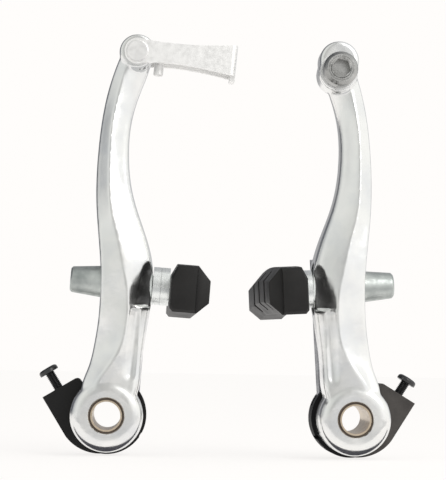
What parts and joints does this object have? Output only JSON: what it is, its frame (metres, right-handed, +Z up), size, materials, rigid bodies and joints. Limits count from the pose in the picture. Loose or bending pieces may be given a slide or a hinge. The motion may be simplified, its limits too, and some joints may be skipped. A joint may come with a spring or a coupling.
{
  "type": "rim brake caliper",
  "caption": "Linear-pull rim brake: a mirrored pair of polished cast arms on spring seats, with ribbed rubber pads, a hinged cable link and a cable clamp.",
  "frame": {"origin": "on the left pivot's axis, 10 mm behind the boss's front face", "axes": "+X from the left pivot to the right one, +Y back to the frame's brake studs, +Z up along the arms"},
  "size_m": [0.111, 0.0607, 0.1225],
  "materials": {
    "polished_alloy": "polished casting",
    "black_acetal": "smooth",
    "brass": "turned",
    "black_nylon": "fine moulded grain",
    "zinc_steel": "zinc plated",
    "spring_steel": "drawn wire",
    "black_screw": "black oxide",
    "washer_steel": "turned, plated",
    "pad_rubber": "matt moulded",
    "satin_steel": "satin plated",
    "bolt_steel": "bright plated"
  },
  "bodies": {
    "left_mount": {"left_spring_seat": "black_nylon", "left_pivot_sleeve": "brass", "left_anchor_pin": "zinc_steel", "left_return_spring": "spring_steel"},
    "left_arm": {"left_arm": "polished_alloy", "left_pivot_bush": "black_acetal", "left_spring_post": "zinc_steel", "link_pin": "satin_steel"},
    "left_screw": {"left_tension_screw": "black_screw"},
    "left_pad_carrier": {"left_inner_convex_washer": "washer_steel", "left_outer_convex_washer": "washer_steel"},
    "left_pad_seat": {"left_inner_concave_washer": "washer_steel", "left_outer_concave_washer": "washer_steel"},
    "left_pad": {"left_brake_pad": "pad_rubber", "left_pad_stud": "zinc_steel", "left_pad_nut": "zinc_steel"},
    "link": {"noodle_link": "satin_steel", "link_stop": "satin_steel"},
    "right_mount": {"right_spring_seat": "black_nylon", "right_pivot_sleeve": "brass", "right_anchor_pin": "zinc_steel", "right_return_spring": "spring_steel"},
    "right_arm": {"right_arm": "polished_alloy", "right_pivot_bush": "black_acetal", "right_spring_post": "zinc_steel"},
    "right_screw": {"right_tension_screw": "black_screw"},
    "right_pad_carrier": {"right_inner_convex_washer": "washer_steel", "right_outer_convex_washer": "washer_steel"},
    "right_pad_seat": {"right_inner_concave_washer": "washer_steel", "right_outer_concave_washer": "washer_steel"},
    "right_pad": {"right_brake_pad": "pad_rubber", "right_pad_stud": "zinc_steel", "right_pad_nut": "zinc_steel"},
    "cable_clamp": {"anchor_bolt": "bolt_steel", "clamp_washer": "bolt_steel"}
  },
  "joints": [
    {"name": "left_arm_pivot", "type": "hinge", "parent": "left_mount", "child": "left_arm", "pos_m": [0, 0, 0], "axis": [0, 1, 0], "range_deg": [-25, 5], "stiffness_Nm_per_rad": 1.2, "deforming": ["left_return_spring"]},
    {"name": "left_tension_screw_travel", "type": "slide", "parent": "left_mount", "child": "left_screw", "axis": [-0.5299, 0, 0.848], "range_m": [-0.0045, 0.002]},
    {"name": "left_pad_height", "type": "slide", "parent": "left_arm", "child": "left_pad_carrier", "axis": [0.0628, 0, 0.998], "range_m": [-0.004, 0.004]},
    {"name": "left_pad_toe", "type": "hinge", "parent": "left_pad_carrier", "child": "left_pad_seat", "pos_m": [0.005, -0.002, 0.0381], "axis": [0.0628, 0, 0.998], "range_deg": [-5, 5]},
    {"name": "left_pad_spin", "type": "hinge", "parent": "left_pad_seat", "child": "left_pad", "pos_m": [0.005, -0.002, 0.0381], "axis": [0.998, 0, -0.0628], "range_deg": [-10, 10]},
    {"name": "stud_spacing", "type": "slide", "parent": "left_mount", "child": "right_mount", "axis": [1, 0, 0], "range_m": [0, 0.0125]},
    {"name": "right_arm_pivot", "type": "hinge", "parent": "right_mount", "child": "right_arm", "pos_m": [0.0714, 0, 0], "axis": [0, -1, 0], "range_deg": [-25, 5], "stiffness_Nm_per_rad": 1.2, "deforming": ["right_return_spring"]},
    {"name": "right_tension_screw_travel", "type": "slide", "parent": "right_mount", "child": "right_screw", "axis": [0.5299, 0, 0.848], "range_m": [-0.0033, 0.0032]},
    {"name": "right_pad_height", "type": "slide", "parent": "right_arm", "child": "right_pad_carrier", "axis": [-0.0628, 0, 0.998], "range_m": [-0.004, 0.004]},
    {"name": "right_pad_toe", "type": "hinge", "parent": "right_pad_carrier", "child": "right_pad_seat", "pos_m": [0.0664, -0.002, 0.0381], "axis": [-0.0628, 0, 0.998], "range_deg": [-7, 3]},
    {"name": "right_pad_spin", "type": "hinge", "parent": "right_pad_seat", "child": "right_pad", "pos_m": [0.0664, -0.002, 0.0381], "axis": [-0.9974, -0.0349, -0.0628], "range_deg": [-10, 10]},
    {"name": "link_pivot", "type": "hinge", "parent": "left_arm", "child": "link", "pos_m": [0.0067, -0.002, 0.1057], "axis": [0, 1, 0], "range_deg": [-95, 12]},
    {"name": "clamp_travel", "type": "slide", "parent": "right_arm", "child": "cable_clamp", "axis": [0, -1, 0], "range_m": [0, 0.002]}
  ]
}
